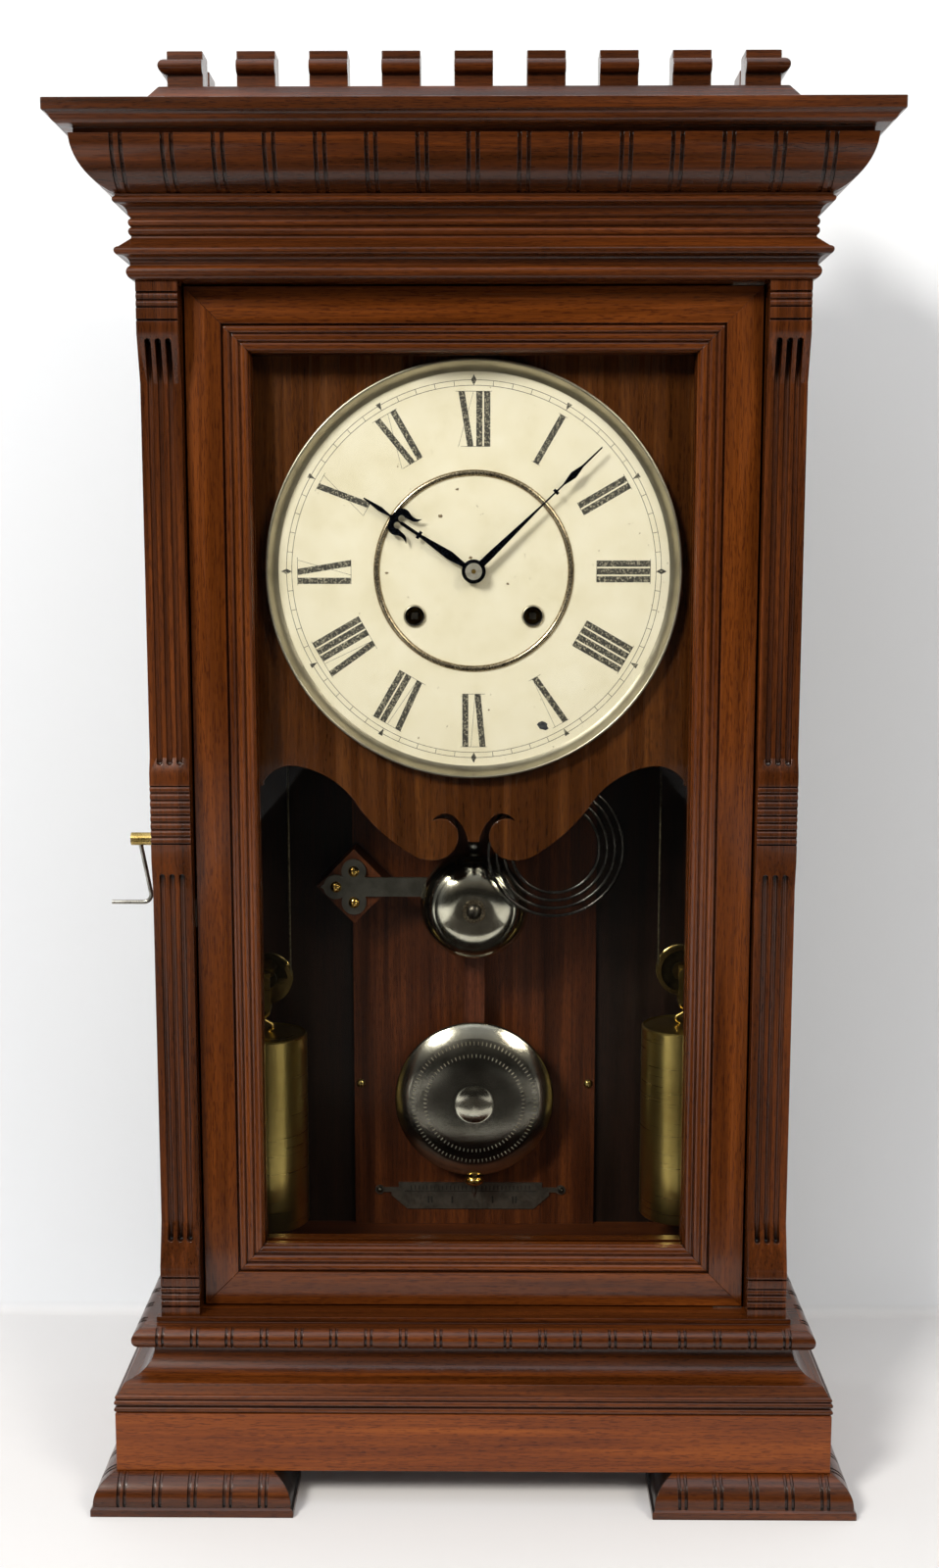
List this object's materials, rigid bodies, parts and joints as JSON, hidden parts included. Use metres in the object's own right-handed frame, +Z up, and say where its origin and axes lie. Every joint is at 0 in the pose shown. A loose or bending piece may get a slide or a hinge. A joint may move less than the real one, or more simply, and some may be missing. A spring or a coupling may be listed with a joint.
{
  "type": "mantel clock",
  "caption": "Tall walnut shelf clock with a glazed door, moulded cornice and base, round cream dial, brass weights on pulleys, round pendulum bob, bell and coiled gong.",
  "frame": {"origin": "under the middle of the base, halfway between the front of the cornice and the back of the case", "axes": "+X to the right as seen from the front, +Y towards the back, +Z up"},
  "size_m": [0.379, 0.146, 0.6991],
  "materials": {
    "walnut_mouldings": "polished dark walnut",
    "walnut_door": "polished walnut, straight grain",
    "walnut_inner": "satin walnut",
    "glass": "clear",
    "dial_enamel": "aged cream enamel",
    "nickel": "aged nickel plate",
    "brass": "aged satin",
    "steel": "satin",
    "blued_steel": "blued, nearly black",
    "black_iron": "blackened",
    "rod_wood": "varnished"
  },
  "bodies": {
    "case": {"crest_gallery": "walnut_mouldings", "cornice_top_board": "walnut_mouldings", "cornice_ovolo": "walnut_mouldings", "neck_moulding": "walnut_mouldings", "case_boards": "walnut_inner", "backboard": "walnut_inner", "pilasters": "walnut_mouldings", "base_board": "walnut_mouldings", "base_cove": "walnut_mouldings", "plinth": "walnut_mouldings", "bracket_feet": "walnut_mouldings", "pivot_hinges": "brass", "case_fittings": "steel", "dial_panel": "walnut_door", "dial_plate": "dial_enamel", "dial_bezel": "nickel", "movement_plates": "brass", "movement_pillars": "brass", "bell": "nickel", "bell_strap": "steel", "case_screws": "brass", "gong_stand": "black_iron", "gong_coil": "blued_steel", "beat_scale": "brass", "pulley_brackets": "brass", "cable_leads": "steel", "cable_right": "steel", "cable_left": "steel"},
    "door": {"door_frame": "walnut_door", "door_glass": "glass"},
    "minute_hand": {"minute_hand": "blued_steel", "cannon_pinion": "brass"},
    "minute_wheel": {"minute_wheel": "brass"},
    "hour_hand": {"hour_hand": "blued_steel", "hour_wheel": "brass"},
    "time_great_wheel": {"time_great_wheel": "brass"},
    "second_wheel": {"second_wheel": "brass"},
    "centre_wheel": {"centre_wheel": "brass"},
    "third_wheel": {"third_wheel": "brass"},
    "escape_wheel": {"escape_wheel": "brass"},
    "verge": {"verge": "steel"},
    "pendulum": {"pendulum_rod": "rod_wood", "pendulum_bob": "nickel"},
    "rating_nut": {"rating_nut": "brass"},
    "time_drum": {"time_drum": "brass"},
    "strike_drum": {"strike_drum": "brass"},
    "weight_right": {"weight_right": "brass"},
    "weight_left": {"weight_left": "brass"},
    "weight_pulley_right": {"weight_pulley_right": "nickel"},
    "weight_pulley_left": {"weight_pulley_left": "nickel"},
    "top_pulley_right": {"top_pulley_right": "nickel"},
    "top_pulley_left": {"top_pulley_left": "nickel"},
    "strike_great_wheel": {"strike_great_wheel": "brass"},
    "strike_second_wheel": {"strike_second_wheel": "brass"},
    "pin_wheel": {"pin_wheel": "brass"},
    "warning_wheel": {"warning_wheel": "brass"},
    "fly": {"fly": "brass"},
    "gong_hammer": {"gong_hammer": "brass"},
    "bell_hammer": {"bell_hammer": "steel"},
    "winding_crank": {"winding_crank": "steel"}
  },
  "joints": [
    {"name": "door_hinge", "type": "hinge", "parent": "case", "child": "door", "pos_m": [0.1334, -0.0265, 0.34], "axis": [0, 0, 1], "range_deg": [0, 90]},
    {"name": "minute_turn", "type": "hinge", "parent": "case", "child": "minute_hand", "pos_m": [0, -0.01, 0.4602], "axis": [0, 1, 0], "continuous": true},
    {"name": "minute_wheel_turn", "type": "hinge", "parent": "case", "child": "minute_wheel", "pos_m": [0, 0.002, 0.4452], "axis": [0, 1, 0], "continuous": true},
    {"name": "hour_turn", "type": "hinge", "parent": "case", "child": "hour_hand", "pos_m": [0, -0.008, 0.4602], "axis": [0, 1, 0], "continuous": true},
    {"name": "third_turn", "type": "hinge", "parent": "case", "child": "third_wheel", "pos_m": [0.00491, 0.025, 0.47959], "axis": [0, 1, 0], "continuous": true},
    {"name": "centre_turn", "type": "hinge", "parent": "case", "child": "centre_wheel", "pos_m": [0, 0.025, 0.4602], "axis": [0, 1, 0], "continuous": true},
    {"name": "second_turn", "type": "hinge", "parent": "case", "child": "second_wheel", "pos_m": [0.01912, 0.025, 0.46606], "axis": [0, 1, 0], "continuous": true},
    {"name": "time_great_turn", "type": "hinge", "parent": "case", "child": "time_great_wheel", "pos_m": [0.0291, 0.014, 0.4384], "axis": [0, 1, 0], "continuous": true},
    {"name": "escape_turn", "type": "hinge", "parent": "case", "child": "escape_wheel", "pos_m": [0, 0.025, 0.4982], "axis": [0, 1, 0], "continuous": true},
    {"name": "pendulum_swing", "type": "hinge", "parent": "case", "child": "pendulum", "pos_m": [0, 0.05, 0.5173], "axis": [0, 1, 0], "range_deg": [-3, 3]},
    {"name": "verge_rock", "type": "hinge", "parent": "case", "child": "verge", "pos_m": [0, 0.025, 0.5173], "axis": [0, 1, 0], "range_deg": [-3, 3]},
    {"name": "rating_turn", "type": "hinge", "parent": "pendulum", "child": "rating_nut", "pos_m": [0, 0.0497, 0.128], "axis": [0, 0, 1], "continuous": true},
    {"name": "weight_right_rise", "type": "slide", "parent": "case", "child": "weight_right", "axis": [0, 0, 1], "range_m": [0, 0.28], "deforming": ["cable_right"]},
    {"name": "time_drum_turn", "type": "hinge", "parent": "case", "child": "time_drum", "pos_m": [0.0291, 0.025, 0.4384], "axis": [0, 1, 0], "continuous": true},
    {"name": "weight_pulley_right_turn", "type": "hinge", "parent": "weight_right", "child": "weight_pulley_right", "pos_m": [0.1096, 0.03, 0.2508], "axis": [0, 1, 0], "continuous": true},
    {"name": "top_pulley_right_turn", "type": "hinge", "parent": "case", "child": "top_pulley_right", "pos_m": [0.0852, 0.03, 0.575], "axis": [0, 1, 0], "continuous": true},
    {"name": "weight_left_rise", "type": "slide", "parent": "case", "child": "weight_left", "axis": [0, 0, 1], "range_m": [0, 0.28], "deforming": ["cable_left"]},
    {"name": "strike_drum_turn", "type": "hinge", "parent": "case", "child": "strike_drum", "pos_m": [-0.0291, 0.025, 0.4384], "axis": [0, 1, 0], "continuous": true},
    {"name": "weight_pulley_left_turn", "type": "hinge", "parent": "weight_left", "child": "weight_pulley_left", "pos_m": [-0.1096, 0.03, 0.2458], "axis": [0, 1, 0], "continuous": true},
    {"name": "top_pulley_left_turn", "type": "hinge", "parent": "case", "child": "top_pulley_left", "pos_m": [-0.0852, 0.03, 0.575], "axis": [0, 1, 0], "continuous": true},
    {"name": "warning_turn", "type": "hinge", "parent": "case", "child": "warning_wheel", "pos_m": [-0.04301, 0.025, 0.48618], "axis": [0, 1, 0], "continuous": true},
    {"name": "pin_turn", "type": "hinge", "parent": "case", "child": "pin_wheel", "pos_m": [-0.02603, 0.025, 0.48195], "axis": [0, 1, 0], "continuous": true},
    {"name": "strike_second_turn", "type": "hinge", "parent": "case", "child": "strike_second_wheel", "pos_m": [-0.03601, 0.025, 0.46698], "axis": [0, 1, 0], "continuous": true},
    {"name": "strike_great_turn", "type": "hinge", "parent": "case", "child": "strike_great_wheel", "pos_m": [-0.0291, 0.014, 0.4384], "axis": [0, 1, 0], "continuous": true},
    {"name": "fly_turn", "type": "hinge", "parent": "case", "child": "fly", "pos_m": [-0.03599, 0.025, 0.50057], "axis": [0, 1, 0], "continuous": true},
    {"name": "gong_hammer_lift", "type": "hinge", "parent": "case", "child": "gong_hammer", "pos_m": [-0.008, 0.025, 0.4162], "axis": [0, -1, 0], "range_deg": [0, 12], "stiffness_Nm_per_rad": 0.01, "springref_deg": -11.46},
    {"name": "bell_hammer_lift", "type": "hinge", "parent": "case", "child": "bell_hammer", "pos_m": [-0.05, 0.025, 0.4162], "axis": [0, -1, 0], "range_deg": [0, 10], "stiffness_Nm_per_rad": 0.01, "springref_deg": -11.46},
    {"name": "crank_swing", "type": "hinge", "parent": "case", "child": "winding_crank", "pos_m": [-0.16, 0.01, 0.324], "axis": [1, 0, 0], "continuous": true}
  ],
  "couplings": [
    {"joint": "minute_wheel_turn", "follows": "minute_turn", "ratio": -0.33333},
    {"joint": "hour_turn", "follows": "minute_turn", "ratio": 0.083333},
    {"joint": "centre_turn", "follows": "third_turn", "ratio": -0.11111},
    {"joint": "second_turn", "follows": "third_turn", "ratio": 0.027778},
    {"joint": "time_great_turn", "follows": "third_turn", "ratio": -0.0046296},
    {"joint": "escape_turn", "follows": "third_turn", "ratio": -10},
    {"joint": "verge_rock", "follows": "pendulum_swing", "ratio": 1},
    {"joint": "pin_turn", "follows": "warning_turn", "ratio": -0.16667},
    {"joint": "strike_second_turn", "follows": "warning_turn", "ratio": 0.033333},
    {"joint": "strike_great_turn", "follows": "warning_turn", "ratio": -0.0055556},
    {"joint": "fly_turn", "follows": "warning_turn", "ratio": -7},
    {"joint": "time_drum_turn", "follows": "weight_right_rise", "rad_per_m": 171.67},
    {"joint": "weight_pulley_right_turn", "follows": "weight_right_rise", "rad_per_m": 81.967},
    {"joint": "top_pulley_right_turn", "follows": "weight_right_rise", "rad_per_m": -163.93},
    {"joint": "strike_drum_turn", "follows": "weight_left_rise", "rad_per_m": -171.67},
    {"joint": "weight_pulley_left_turn", "follows": "weight_left_rise", "rad_per_m": -81.967},
    {"joint": "top_pulley_left_turn", "follows": "weight_left_rise", "rad_per_m": 163.93}
  ]
}
